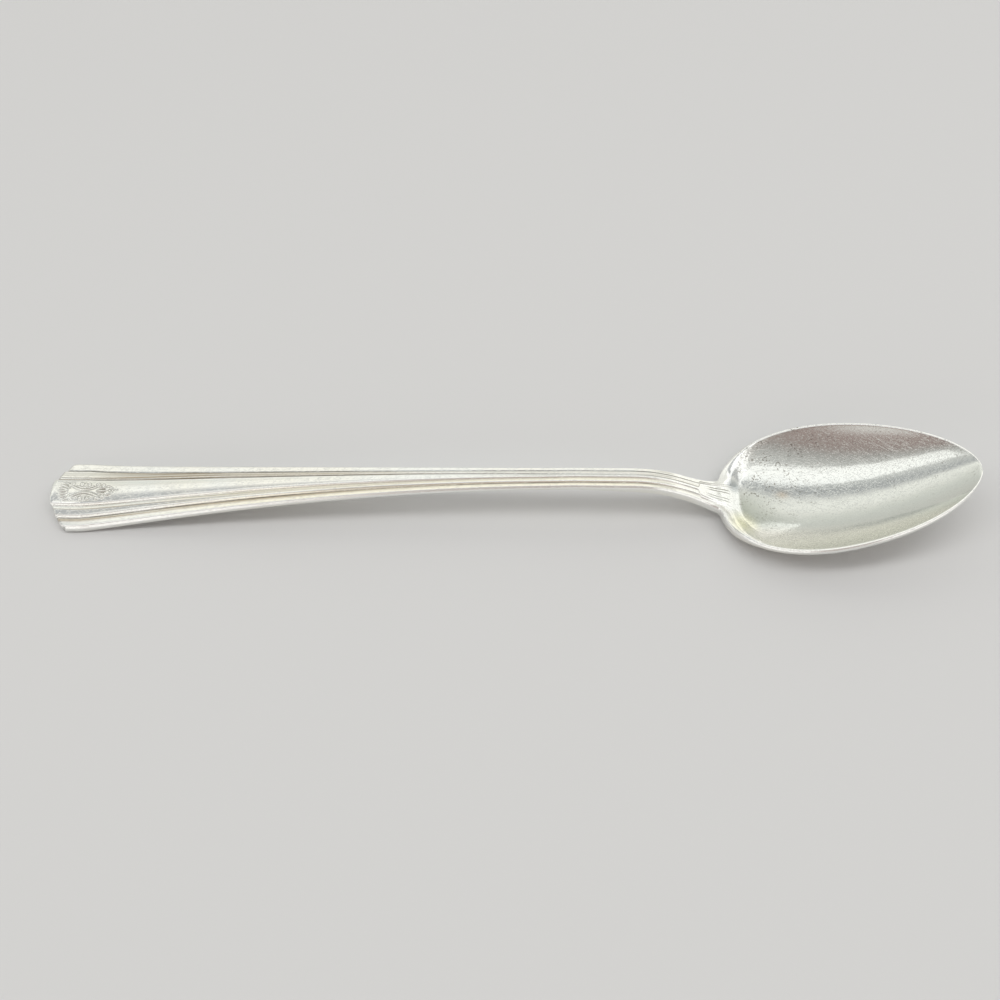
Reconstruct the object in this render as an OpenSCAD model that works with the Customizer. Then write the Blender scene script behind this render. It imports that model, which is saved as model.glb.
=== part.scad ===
// Long-handled iced-tea spoon, silver plated, lying bowl up on a table.
// A nickel-silver blank is struck to shape in one piece, then coated all over with silver.
// X runs along the spoon from the handle end to the bowl tip, Y runs across it and Z is up.
// The origin lies on the table, under the middle of the spoon.

/* [Overall] */
// Length from the handle end to the bowl tip
overall_length = 190; // [175:1:210]
// Thickness of the silver coat
plate_thickness = 0.03; // [0.02:0.005:0.05]
// Depth worn off at the two places that rest on the table
wear_depth = 0.07; // [0.06:0.01:0.1]

/* [Bowl] */
// Length from the shoulders to the tip
bowl_length = 51.5; // [48:0.1:56]
// Width at the widest place
bowl_width = 31.2; // [27:0.1:35]
// Distance from the tip back to the widest place
bowl_front = 30.5; // [29:0.5:32]
// Distance from the tip back to the place that rests on the table
bowl_rest = 35; // [33:0.5:36]
// Height of the rim above the table at the shoulders
rim_low = 4; // [3.6:0.1:4.6]
// Height of the rim above the table at the tip
rim_high = 15; // [13:0.1:17]
// Width of the flat rim
rim_width = 0.9; // [0.5:0.1:1.4]
// Thickness of the rim at its edge
rim_thickness = 1; // [0.7:0.1:1.3]
// Thickness of the bowl's floor
floor_thickness = 1.3; // [0.9:0.1:1.6]
// How far the outline is cut short at the tip
tip_bluntness = 0.02; // [0.01:0.005:0.05]

/* [Handle] */
// Width across the broad end
end_width = 16.2; // [13:0.1:19]
// Width of the narrow shank
shank_width = 4.9; // [4.2:0.1:5.6]
// Length of the shank, from the shoulders back to where the handle starts to widen
shank_length = 29; // [22:1:36]
// Length of the parallel stretch at the broad end
end_length = 7; // [5:0.5:9]
// Height of the handle's edge above the table at the crest of its arch
crest_height = 10.5; // [8:0.1:14]
// Distance from the shoulders back to the crest
crest_back = 27; // [24:0.5:32]
// Distance from the end to the place that rests on the table
end_rest = 4.8; // [4.4:0.1:6]
// Length over which the end curls up from the table
end_curl = 8; // [5:0.5:10]
// Edge thickness at the broad end
end_thickness = 2.1; // [1.7:0.1:2.5]
// Edge thickness in the middle of the handle
mid_thickness = 1.5; // [1.2:0.1:1.8]
// Thickness at the neck
neck_thickness = 2.5; // [2.2:0.1:2.9]
// Rise of the rounded back, from its edges to its middle
back_crown = 0.35; // [0.3:0.05:0.5]
// Roundness of the top edges
edge_round = 0.2; // [0.1:0.05:0.3]

/* [Stepped bands] */
// Height of the inner bands over the outer ones
inner_step = 0.38; // [0.2:0.02:0.5]
// Height of the centre panel over the inner bands
panel_step = 0.3; // [0.2:0.02:0.4]
// Width of the sloping face between two bands
riser_width = 0.18; // [0.1:0.02:0.24]
// Crown of the centre panel
panel_crown = 0.08; // [0:0.02:0.16]
// How far the inner bands are cut back at the corners of the end
inner_cut = 1.7; // [1:0.1:2.4]
// How far the outer bands are cut back at the corners of the end
outer_cut = 3.8; // [2.8:0.1:4.4]
// Jog in the end's outline from one band to the next
end_jog = 0.3; // [0.1:0.05:0.4]

/* [Neck] */
// Width of the neck at the shoulders
neck_width = 6.8; // [5.6:0.1:8]
// Length over which the neck widens towards the shoulders
neck_run = 7.5; // [5:0.5:10]
// Distance from the shoulders back to where the neck starts to fall
fall_back = 17; // [15:0.5:19]
// How far past the shoulders the neck falls
fall_reach = 3.7; // [3:0.1:4.4]
// How far past the shoulders the rim starts to rise
rim_reach = 2.7; // [2:0.1:3.4]
// Distance from the shoulders back to the start of the neck panel
panel_back = 4.1; // [3.5:0.1:5]
// Width of the neck panel at its start
panel_start_width = 2.7; // [2.2:0.1:3]
// Width of the neck panel at the bowl
panel_end_width = 4.5; // [3.8:0.1:5]
// How far the neck panel reaches past the shoulders
panel_reach = 2.3; // [1.8:0.1:2.8]
// Length of the face that slopes from the neck panel into the bowl
heel_run = 2.1; // [1.6:0.1:2.6]
// Roundness of the corners between the neck and the bowl
neck_fillet = 1.4; // [0.8:0.1:2.4]

/* [Hidden] */

// Places along the spoon
end_x = -overall_length / 2;
tip_x = overall_length / 2;
shoulder_x = tip_x - bowl_length;
widest_x = tip_x - bowl_front;
bowl_rest_x = tip_x - bowl_rest;
handle_rest_x = end_x + end_rest;
crest_x = shoulder_x - crest_back;
flare_x = shoulder_x - shank_length;
flare_full_x = end_x + end_length;
neck_x = shoulder_x - neck_run;
panel_x = shoulder_x - panel_back;
heel_x = shoulder_x + panel_reach;
heel_foot_x = heel_x + heel_run;

// The neck falls from the crest to the lowest place of the rim
drop_x = shoulder_x - fall_back;
drop_end_x = shoulder_x + fall_reach;
rim_low_x = shoulder_x + rim_reach;

// Lengths over which one form turns into the next
thickening_x = crest_x - crest_back / 3;
floor_blend = bowl_length / 5;
side_blend = bowl_length / 6;
end_blend = 3 * outer_cut;
column_blend = 3 * heel_run;

// Half of the sloping face between two bands
riser = riser_width / 2;

// Form of the curves
flare_power = 1.85;
neck_power = 2;
arch_power = 2;
bowl_front_power = 1.75;
bowl_front_root = 1.8;
bowl_back_power = 2.2;
keel_power = 2;
hollow_power = 2.3;
belly_power = 2.4;
shoulder_slope = 2;
end_thickening_power = 2;
panel_flare_power = 0.8;

// Band edges as shares of the handle's half width, and the least width of an inner band
panel_share_shank = 0.12;
panel_share_end = 0.38;
band_share_shank = 0.62;
band_share_end = 0.69;
band_margin = 2.5 * riser_width;

// Numbers of steps along the spoon, stretch by stretch
end_steps = 2;
patch_steps = 4;
handle_steps = 14;
neck_steps = 8;
panel_steps = 5;
heel_steps = 2;
bowl_back_steps = 6;
bowl_front_steps = 16;

// Columns of points from the middle to the edge, and half widths of the worn patches in columns
inner_columns = 7;
half_columns = inner_columns + 1;
handle_patch_columns = 4;
bowl_patch_columns = 1;

// Shares of the bowl's half width: its first and last inner column, and the most that the rim takes
first_column_share = 0.2;
last_column_share = 0.88;
most_rim_share = 0.4;

function limit(t) = min(1, max(0, t));
function ease(t) = let(s = limit(t)) s * s * (3 - 2 * s);
function mix(a, b, t) = a + (b - a) * t;
function unit(v) = v / norm(v);

// Plan outline
function flare(x) = limit((flare_x - x) / (flare_x - flare_full_x));
function neck_flare(x) = limit((x - neck_x) / neck_run);
function handle_half(x) =
    (shank_width
     + (end_width - shank_width) * pow(flare(x), flare_power)
     + (neck_width - shank_width) * pow(neck_flare(x), neck_power)) / 2;
function bowl_share(x) =
    x > widest_x
    ? pow(1 - pow((x - widest_x) / (bowl_front + tip_bluntness), bowl_front_power), 1 / bowl_front_root)
    : pow(1 - pow((widest_x - x) / (widest_x - shoulder_x), bowl_back_power), 1 / bowl_back_power);
function bowl_half(x) =
    x < shoulder_x ? -shoulder_slope * (shoulder_x - x) : bowl_share(x) * bowl_width / 2;
function half_width(x) =
    let(fade = 1 - ease((x - shoulder_x) / (widest_x - shoulder_x)))
    let(a = handle_half(x) * fade)
    let(b = bowl_half(x))
    (a + b + sqrt(pow(a - b, 2) + pow(neck_fillet * fade, 2))) / 2;

// Side profile: the edge line is the top of the outer bands and of the rim, the keel is the underside
function edge_thickness(x) =
    mid_thickness
    + (end_thickness - mid_thickness) * pow(flare(x), end_thickening_power)
    + (neck_thickness - mid_thickness) * ease((x - thickening_x) / crest_back);
function handle_keel(x) =
    let(s = (sqrt(pow(x - handle_rest_x, 2) + pow(end_curl, 2)) - end_curl) / (crest_x - handle_rest_x))
    mix(-wear_depth, crest_height - mid_thickness, 1 - pow(1 - limit(s), arch_power));
function handle_edge(x) = min(handle_keel(x) + edge_thickness(x), crest_height);
function rim_line(x) = mix(rim_low, rim_high, (max(x, rim_low_x) - rim_low_x) / (tip_x - rim_low_x));
function edge_line(x) = mix(handle_edge(x), rim_line(x), ease((x - drop_x) / (drop_end_x - drop_x)));
function bowl_keel(x) =
    x > bowl_rest_x
    ? mix(-wear_depth, rim_high - rim_thickness, pow((x - bowl_rest_x) / bowl_rest, keel_power))
    : mix(-wear_depth, edge_line(shoulder_x) - neck_thickness,
          pow((bowl_rest_x - x) / (bowl_rest_x - shoulder_x), keel_power));
function keel(x) =
    mix(edge_line(x) - edge_thickness(x), bowl_keel(x), ease((x - panel_x) / (heel_foot_x - panel_x)));
function floor_depth(x) =
    let(floor = mix(neck_thickness, floor_thickness, ease((x - shoulder_x) / floor_blend)))
    x < shoulder_x ? 0 : max(0, edge_line(x) - keel(x) - floor);
function side_height(x) =
    mix(edge_thickness(x) - back_crown, rim_thickness, ease((x - shoulder_x) / side_blend));

// Stepped bands: half widths of the centre panel and of the inner bands
function on_neck_panel(x) = limit((x - panel_x) / (2 * riser) + 0.5);
function panel_half(x) =
    let(along = limit((x - panel_x) / (heel_x - panel_x)))
    let(plain = handle_half(x) * mix(panel_share_shank, panel_share_end, pow(flare(x), panel_flare_power)))
    mix(plain, mix(panel_start_width, panel_end_width, along) / 2, on_neck_panel(x));
function band_half(x) =
    max(handle_half(x) * mix(band_share_shank, band_share_end, flare(x)), panel_half(x) + band_margin);
function inside(y, limit_y) = limit((limit_y - y) / (2 * riser) + 0.5);
function terrace(x, y) =
    let(fade = 1 - ease((x - heel_x) / heel_run))
    let(c = panel_half(x))
    fade * (inner_step * inside(y, band_half(x))
            + panel_step * inside(y, c)
            + panel_crown * max(0, 1 - pow(y / c, 2)));

// Heights of the upper and the lower surface at a share of the half width
function rim_share(x) = 1 - min(rim_width / half_width(x), most_rim_share);
function top_z(x, share) =
    let(hollow = max(0, 1 - pow(share / rim_share(x), hollow_power)))
    let(round = share < 1 ? 0 : edge_round)
    edge_line(x) + terrace(x, share * half_width(x)) - floor_depth(x) * hollow - round;
function bottom_z(x, share) =
    mix(keel(x), edge_line(x) - side_height(x), pow(share, belly_power));

// Worn patches: the coat ends where its underside is this high over the table
coat_end_z = wear_depth / 10;
coat_drop = wear_depth + coat_end_z;
handle_worn_share = pow(coat_drop / back_crown, 1 / belly_power);
bowl_worn_share = pow(coat_drop / (bottom_z(bowl_rest_x, 1) + wear_depth), 1 / belly_power);
bowl_patch_front = bowl_rest * pow(coat_drop / (bowl_keel(tip_x) + wear_depth), 1 / keel_power);
bowl_patch_back = (bowl_rest_x - shoulder_x)
    * pow(coat_drop / (bowl_keel(shoulder_x) + wear_depth), 1 / keel_power);
handle_run = crest_x - handle_rest_x;
handle_rise = crest_height - mid_thickness + wear_depth;
handle_worn_step = 1 - pow(1 - coat_drop / handle_rise, 1 / arch_power);
handle_patch = sqrt(pow(handle_worn_step * handle_run + end_curl, 2) - pow(end_curl, 2));

// Cut-back of the handle's end, band by band
function set_back(y) =
    let(c = panel_half(end_x))
    let(b = band_half(end_x))
    let(w = half_width(end_x))
    y < c - riser ? 0
    : y < c + riser ? end_jog * inside(2 * c - y, c)
    : y < b - riser ? mix(end_jog, inner_cut, (y - c - riser) / (b - c - 2 * riser))
    : y < b + riser ? mix(inner_cut, inner_cut + end_jog, inside(2 * b - y, b))
    : mix(inner_cut + end_jog, outer_cut, (y - b - riser) / (w - b - riser));
function cut_x(station, share) =
    station + set_back(share * half_width(end_x)) * (1 - ease((station - end_x) / end_blend));

// Columns follow the band edges on the handle and spread evenly in the bowl
function handle_columns(x) =
    let(w = half_width(x))
    let(c = panel_half(x))
    let(b = band_half(x))
    let(between = mix((b + c) / 2, handle_worn_share * w, flare(x)))
    [for (y = [0, c / 2, c - riser, c + riser, between, b - riser, b + riser]) y / w];
function bowl_columns(x) =
    let(last = inner_columns - 1)
    let(outermost = last_column_share * rim_share(x))
    let(first = min(bowl_worn_share, first_column_share * rim_share(x)))
    [for (j = [0 : last]) j == 0 ? 0 : mix(first, outermost, (j - 1) / (last - 1))];
function shares(x) =
    let(spread = ease((x - heel_x) / column_blend))
    let(inner = mix(handle_columns(x), bowl_columns(x), spread))
    concat(inner, [mix(1 - edge_round / half_width(x), rim_share(x), spread), 1]);

// Stations along the spoon, stretch by stretch
function stretch(a, b, steps) = [for (i = [0 : steps - 1]) mix(a, b, i / steps)];
function tip_stretch(a, b, steps) = [for (i = [0 : steps]) mix(a, b, sin(90 * i / steps))];
handle_patch_row = end_steps;
bowl_patch_row = end_steps + patch_steps + handle_steps + neck_steps + 1 + panel_steps + heel_steps
    + bowl_back_steps;
stations = concat(
    stretch(end_x, handle_rest_x - handle_patch, end_steps),
    stretch(handle_rest_x - handle_patch, handle_rest_x + handle_patch, patch_steps),
    stretch(handle_rest_x + handle_patch, drop_x, handle_steps),
    stretch(drop_x, panel_x - riser, neck_steps),
    [panel_x - riser],
    stretch(panel_x + riser, heel_x, panel_steps),
    stretch(heel_x, heel_foot_x, heel_steps),
    stretch(heel_foot_x, bowl_rest_x - bowl_patch_back, bowl_back_steps),
    stretch(bowl_rest_x - bowl_patch_back, bowl_rest_x + bowl_patch_front, patch_steps),
    tip_stretch(bowl_rest_x + bowl_patch_front, tip_x, bowl_front_steps));

// One closed ring of points: the top from right to left, then the bottom back again
function ring(station) =
    let(s = shares(station))
    let(n = half_columns)
    concat(
        [for (j = [-n : n])
            let(x = cut_x(station, s[abs(j)]))
            [x, sign(j) * s[abs(j)] * half_width(x), top_z(x, s[abs(j)])]],
        [for (j = [n : -1 : -n])
            let(x = cut_x(station, s[abs(j)]))
            [x, sign(j) * s[abs(j)] * half_width(x), bottom_z(x, s[abs(j)])]]);

outer_rings = [for (x = stations) ring(x)];
rows = len(outer_rings);
columns = len(outer_rings[0]);
across = columns / 2;

// The same rings set in by the thickness of the coat, along each point's normal
function end_normal(i) = i == 0 ? [-1, 0, 0] : i == rows - 1 ? [1, 0, 0] : [0, 0, 0];
function normal(i, j) =
    let(along = outer_rings[min(i + 1, rows - 1)][j] - outer_rings[max(i - 1, 0)][j])
    let(round = outer_rings[i][(j + 1) % columns] - outer_rings[i][(j + columns - 1) % columns])
    unit(unit(cross(along, round)) + end_normal(i));
inner_rings =
    [for (i = [0 : rows - 1])
        [for (j = [0 : columns - 1]) outer_rings[i][j] - plate_thickness * normal(i, j)]];

// Faces: cells between rings, and strips that close the two ends
function flat_list(lists) = [for (list = lists) for (item = list) item];
function split(quad) = [[quad[0], quad[1], quad[2]], [quad[0], quad[2], quad[3]]];
function turned(face) = [for (k = [len(face) - 1 : -1 : 0]) face[k]];
function point(i, j) = i * columns + j % columns;
function cell(i, j) = [point(i, j), point(i, j + 1), point(i + 1, j + 1), point(i + 1, j)];
function in_patch(i, j, patch) = i >= patch[0] && i < patch[1] && j >= patch[2] && j < patch[3];
function in_any_patch(i, j, patches) = len([for (p = patches) if (in_patch(i, j, p)) p]) > 0;
function skin_quads(patches) =
    [for (i = [0 : rows - 2]) for (j = [0 : columns - 1]) if (!in_any_patch(i, j, patches)) cell(i, j)];
function end_strip(i) =
    [for (j = [0 : across - 2])
        [point(i, j), point(i, columns - 1 - j), point(i, columns - 2 - j), point(i, j + 1)]];
function skin_faces(patches) =
    flat_list([for (quad = concat(skin_quads(patches), end_strip(0),
                                  [for (q = end_strip(rows - 1)) turned(q)])) split(quad)]);

// A patch worn through the coat, as its first and last row and column, and the walls round it
function patch(row, half) =
    let(middle = across + (across - 1) / 2)
    [row, row + patch_steps, middle - half, middle + half];
function patch_edges(p) =
    concat(
        [for (j = [p[2] : p[3] - 1]) [point(p[0], j), point(p[0], j + 1)]],
        [for (j = [p[2] : p[3] - 1]) [point(p[1], j + 1), point(p[1], j)]],
        [for (i = [p[0] : p[1] - 1]) [point(i + 1, p[2]), point(i, p[2])]],
        [for (i = [p[0] : p[1] - 1]) [point(i, p[3]), point(i + 1, p[3])]]);
function patch_walls(p, inner) =
    flat_list([for (e = patch_edges(p)) split([e[0], e[1], e[1] + inner, e[0] + inner])]);

// The struck blank, worn flat where it rests
module base_metal_blank() {
    slab = 4 * wear_depth;
    color([0.74, 0.69, 0.58])
        difference() {
            polyhedron(flat_list(inner_rings), skin_faces([]), convexity = 6);
            translate([end_x, -bowl_width / 2, -slab])
                cube([overall_length, bowl_width, slab]);
        }
}

// The silver coat, worn through at the two resting places
module silver_plate() {
    worn = [patch(handle_patch_row, handle_patch_columns), patch(bowl_patch_row, bowl_patch_columns)];
    inner = rows * columns;
    skin = skin_faces(worn);
    lining = [for (face = skin) [for (k = turned(face)) k + inner]];
    walls = flat_list([for (p = worn) patch_walls(p, inner)]);
    color([0.84, 0.83, 0.79])
        polyhedron(flat_list(concat(outer_rings, inner_rings)), concat(skin, lining, walls), convexity = 6);
}

base_metal_blank();
silver_plate();
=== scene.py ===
import math

import bpy
import numpy as np
from mathutils import Matrix, Vector


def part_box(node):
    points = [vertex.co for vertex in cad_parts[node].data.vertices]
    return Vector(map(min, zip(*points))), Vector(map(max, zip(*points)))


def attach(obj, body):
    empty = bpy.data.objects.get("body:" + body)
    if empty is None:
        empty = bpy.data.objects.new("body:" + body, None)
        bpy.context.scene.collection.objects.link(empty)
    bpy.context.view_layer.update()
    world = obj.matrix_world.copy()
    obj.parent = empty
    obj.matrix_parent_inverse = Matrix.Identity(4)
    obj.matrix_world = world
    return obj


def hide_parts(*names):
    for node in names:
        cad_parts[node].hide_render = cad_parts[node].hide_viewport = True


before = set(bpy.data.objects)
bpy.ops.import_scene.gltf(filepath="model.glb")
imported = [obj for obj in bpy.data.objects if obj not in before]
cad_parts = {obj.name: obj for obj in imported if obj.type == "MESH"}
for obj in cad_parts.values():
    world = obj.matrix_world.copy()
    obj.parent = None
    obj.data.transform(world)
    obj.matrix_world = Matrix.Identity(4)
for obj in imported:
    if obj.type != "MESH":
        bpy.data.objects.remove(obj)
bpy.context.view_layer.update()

# Shapes are worked out in millimetres and become metres when a mesh is made.
MM = 0.001

# Places along the spoon
plate_low, plate_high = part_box("silver_plate")
END_X = plate_low.x / MM
TIP_X = plate_high.x / MM
BOWL_LENGTH = 51.5
SHOULDER_X = TIP_X - BOWL_LENGTH
BOWL_FRONT = 30.5
WIDEST_X = TIP_X - BOWL_FRONT
BOWL_REST = 35.0
BOWL_REST_X = TIP_X - BOWL_REST
HANDLE_REST_X = END_X + 4.8
CREST_BACK = 27.0
CREST_X = SHOULDER_X - CREST_BACK
FLARE_X = SHOULDER_X - 29.0
FLARE_FULL_X = END_X + 7.0
NECK_RUN = 7.5
NECK_X = SHOULDER_X - NECK_RUN
FALL_X = SHOULDER_X - 20.0
FALL_END_X = SHOULDER_X + 2.4
RIM_LOW_X = SHOULDER_X + 2.7
PANEL_X = SHOULDER_X - 4.1
HEEL_X = SHOULDER_X + 2.3
HEEL_RUN = 2.1
HEEL_FOOT_X = HEEL_X + HEEL_RUN
THICKENING_X = CREST_X - CREST_BACK / 3

# Widths, heights and thicknesses
BOWL_WIDTH = 2 * plate_high.y / MM
END_WIDTH = 16.2
SHANK_WIDTH = 4.9
NECK_WIDTH = 6.8
NECK_FILLET = 1.4
CREST_HEIGHT = 10.5
RIM_LOW = 4.0
RIM_HIGH = plate_high.z / MM
RIM_WIDTH = 0.62
SHOULDER_LIP = 1.3
LIP_RUN = 10.0
RIM_THICKNESS = 1.0
FLOOR_THICKNESS = 1.3
END_THICKNESS = 2.1
MID_THICKNESS = 1.5
NECK_THICKNESS = 2.5
BACK_CROWN = 0.35
WEAR_DEPTH = 0.07
COAT_END_Z = WEAR_DEPTH / 10
PLATE_THICKNESS = 0.03
END_CURL = 8.0
FLOOR_BLEND = BOWL_LENGTH / 9
SIDE_BLEND = BOWL_LENGTH / 6
COLUMN_BLEND = 3 * HEEL_RUN

# Form of the curves
FLARE_POWER = 1.85
ARCH_POWER = 2.0
FALL_POWER = 1.45
BOWL_FRONT_POWER = 1.75
BOWL_FRONT_ROOT = 1.8
BOWL_BACK_POWER = 2.2
HOLLOW_POWER = 2.3
HEEL_HOLLOW_POWER = 4.0
BELLY_POWER = 2.4
TIP_BLUNTNESS = 0.02
SHOULDER_SLOPE = 2.0
MOST_RIM_SHARE = 0.4

# Stepped bands. PANEL_SHARE and BAND_SHARE are shares of the width, on the shank and at the broad end.
INNER_STEP = 0.5
PANEL_STEP = 0.5
SHANK_STEP = 0.45
RISER_SLOPE = 0.36
RISER_SOFTNESS = 0.25
PANEL_CROWN = 0.1
INNER_BAND_CROWN = 0.06
OUTER_BAND_CROWN = 0.012
SHANK_CROWN = 0.35
CROWN_SCALE = 4.6
CROWN_POWERS = (0.8, 1.6)
PANEL_SHARE = (0.12, 0.38)
PANEL_FLARE_POWER = 0.8
BAND_SHARE = (0.52, 0.69)
BAND_FLARE_POWER = 1.8
BAND_MARGIN = 0.45
GROOVE_WIDTH = 0.16
GROOVE_DEPTH = 0.04
BEAD_WIDTH = 0.2
BEAD_HEIGHT = 0.02

# Handle end
INNER_CUT = 1.75
OUTER_CUT = 2.9
CUT_POWER = 1.4
END_JOG = 0.4
END_BLEND = 3 * OUTER_CUT
END_BOW = 0.4
BOW_POWER = 4
CORNER_CUT = 1.0
CORNER_POWER = 3

# Neck: its panel starts to fall before the heel, later in the middle than at the sides
PANEL_START_HALF = 1.35
PANEL_END_HALF = 2.25
PANEL_END_FALL = (0.6, 1.0)
FLUTES = (0.75, 1.4)
FLUTE_START_SHARE = 0.7
FLUTE_LENGTH = 6.0
FLUTE_RISE = 0.5
FLUTE_FADE = 0.8
FLUTE_WIDTH = 0.2
FLUTE_DEPTH = 0.1
START_CUT_WIDTH = 0.25
START_CUT_DEPTH = 0.012
START_CUT_FADE = 0.2
NECK_START_THINNING = 0.6
NECK_THINNING = 0.25

# Heel: its foot runs further into the bowl towards the sides, and an apron slopes down beside it
FOOT_BEND = 0.0155
FOOT_POWER = 2.6
APRON_SLOPE = 0.14
APRON_DEPTH = 0.8
APRON_RUN = 3.0
APRON_START = 2.0
APRON_END = 1.0
APRON_FADE = 5.0

# Rounding of the edges
HANDLE_BEVEL = 0.5
SHANK_BEVEL = 0.3
RIM_BEVEL = 0.26
MOST_BEVEL_SHARE = 0.2
BEVEL_SLOPE = 1.25
BEVEL_POWER = 1.15
BOTTOM_ROUND = 0.34
MOST_BOTTOM_SHARE = 0.4
END_ROUND = 0.3
END_TOP_ROUND = 0.6
RIM_SOFTNESS = 0.015

# Waviness that hand polishing leaves in the bowl
WAVE_HEIGHT = 0.012
WAVE_LENGTH = 9.0
WAVE_SKEW = (0.7, 0.35)
WAVE_RISE = 8.0

# Points from the middle of the top to the middle of the bottom
PANEL_POINTS = 26
STEP_POINTS = 9
INNER_POINTS = 8
OUTER_POINTS = 9
TOP_POINTS = PANEL_POINTS + 2 * STEP_POINTS + INNER_POINTS + OUTER_POINTS - 4
ROUND_POINTS = 5
SIDE_POINTS = 1
BOTTOM_POINTS = 12

# How far the finer points reach on both sides of a step and of the hollow's edge
STEP_ZONE = 0.4
PANEL_ZONE_SHARE = 0.8
BAND_ZONE_PARTS = 2.5
RIM_ZONE = 0.16
RIM_ZONE_SHARE = 0.3

# Rings along the spoon
END_ROWS = 8
ORNAMENT_PITCH = 0.15
ORNAMENT_MARGIN = 0.5
HANDLE_PITCH = 2.0
FALL_PITCH = 0.6
CUT_PITCH = 0.08
CUT_MARGINS = (0.4, 0.3)
PANEL_PITCH = 0.25
HEEL_PITCH = 0.2
HEEL_MARGIN = 1.0
BOWL_PITCH = 0.85
TIP_RUN = 2.0
TIP_ROWS = 18


def limit(t):
    """t, kept from 0 to 1."""
    return np.clip(t, 0.0, 1.0)


def ease(t):
    """A smooth rise from 0 to 1."""
    s = limit(t)
    return s * s * (3 - 2 * s)


def mix(a, b, t):
    """The value that lies the share t of the way from a to b."""
    return a + (b - a) * t


def hill(t):
    """A smooth hill of height 1 that is 0 from t = 1 on."""
    return limit(1 - t * t) ** 2


def bell(t):
    """A smooth hill of height 1 that fades out slowly."""
    return np.exp(-(t ** 2))


# Plan outline

def flare(x):
    """0 on the shank, rising to 1 at the handle's broad end."""
    return limit((FLARE_X - x) / (FLARE_X - FLARE_FULL_X))


def handle_half(x):
    broad = (END_WIDTH - SHANK_WIDTH) * flare(x) ** FLARE_POWER
    neck = (NECK_WIDTH - SHANK_WIDTH) * limit((x - NECK_X) / NECK_RUN) ** 2
    return (SHANK_WIDTH + broad + neck) / 2


def bowl_half(x):
    front = limit((x - WIDEST_X) / (BOWL_FRONT + TIP_BLUNTNESS))
    back = limit((WIDEST_X - x) / (WIDEST_X - SHOULDER_X))
    front_share = (1 - front ** BOWL_FRONT_POWER) ** (1 / BOWL_FRONT_ROOT)
    back_share = (1 - back ** BOWL_BACK_POWER) ** (1 / BOWL_BACK_POWER)
    share = np.where(x > WIDEST_X, front_share, back_share)
    return np.where(x < SHOULDER_X, -SHOULDER_SLOPE * (SHOULDER_X - x), share * BOWL_WIDTH / 2)


def half_width(x):
    """The wider of handle and bowl, with a fillet between them."""
    fade = 1 - ease((x - SHOULDER_X) / (WIDEST_X - SHOULDER_X))
    a = handle_half(x) * fade
    b = bowl_half(x)
    return (a + b + np.sqrt((a - b) ** 2 + (NECK_FILLET * fade) ** 2)) / 2


# Side profile

def edge_thickness(x):
    end = (END_THICKNESS - MID_THICKNESS) * flare(x) ** 2
    neck = (NECK_THICKNESS - MID_THICKNESS) * ease((x - THICKENING_X) / CREST_BACK)
    return MID_THICKNESS + end + neck


def handle_keel(x):
    run = CREST_X - HANDLE_REST_X
    s = (np.sqrt((x - HANDLE_REST_X) ** 2 + END_CURL ** 2) - END_CURL) / run
    return mix(-WEAR_DEPTH, CREST_HEIGHT - MID_THICKNESS, 1 - (1 - limit(s)) ** ARCH_POWER)


def edge_line(x):
    """Height of the upper edge: along the arched handle, down the neck and up the rim."""
    handle = np.minimum(handle_keel(x) + edge_thickness(x), CREST_HEIGHT)
    rim = mix(RIM_LOW, RIM_HIGH, limit((x - RIM_LOW_X) / (TIP_X - RIM_LOW_X)))
    fall = limit((x - FALL_X) / (FALL_END_X - FALL_X)) ** FALL_POWER
    return mix(handle, rim, ease(fall))


def bowl_keel(x):
    front = limit((x - BOWL_REST_X) / BOWL_REST) ** 2
    back = np.maximum(0, (BOWL_REST_X - x) / (BOWL_REST_X - SHOULDER_X)) ** 2
    neck = edge_line(SHOULDER_X) - NECK_THICKNESS
    return np.where(
        x > BOWL_REST_X,
        mix(-WEAR_DEPTH, RIM_HIGH - RIM_THICKNESS, front),
        mix(-WEAR_DEPTH, neck, back),
    )


def keel(x):
    """Height of the underside's middle line."""
    handle = edge_line(x) - edge_thickness(x)
    return mix(handle, bowl_keel(x), ease((x - PANEL_X) / (HEEL_FOOT_X - PANEL_X)))


def floor_depth(x):
    """How far the bowl's floor lies below the rim."""
    floor = mix(NECK_THICKNESS, FLOOR_THICKNESS, ease((x - SHOULDER_X) / FLOOR_BLEND))
    return np.where(x < SHOULDER_X, 0, np.maximum(0, edge_line(x) - keel(x) - floor))


def side_height(x):
    return mix(edge_thickness(x) - BACK_CROWN, RIM_THICKNESS, ease((x - SHOULDER_X) / SIDE_BLEND))


# Stepped bands, neck panel and heel

def panel_half(x):
    along = limit((x - PANEL_X) / (HEEL_X - PANEL_X))
    plain = handle_half(x) * mix(*PANEL_SHARE, flare(x) ** PANEL_FLARE_POWER)
    on_panel = ease((x - PANEL_X) / PANEL_STEP + 0.5)
    return mix(plain, mix(PANEL_START_HALF, PANEL_END_HALF, along), on_panel)


def band_half(x):
    share = mix(*BAND_SHARE, flare(x) ** BAND_FLARE_POWER)
    return np.maximum(handle_half(x) * share, panel_half(x) + BAND_MARGIN)


def foot_x(y):
    """Where the heel meets the bowl's floor."""
    return HEEL_FOOT_X + FOOT_BEND * y ** FOOT_POWER


def on_bands(x, y):
    """1 on the handle and the neck, falling straight to 0 down the heel."""
    start = HEEL_X - mix(*PANEL_END_FALL, limit(y / PANEL_END_HALF) ** BOW_POWER)
    return 1 - limit((x - start) / (foot_x(y) - start))


def step(y, edge, height):
    """A step of height 1 inside the edge, with a nearly straight slope."""
    half = RISER_SLOPE * height
    t = (edge + half - y) / (2 * half)
    return mix(limit(t), ease(t), RISER_SOFTNESS)


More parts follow.
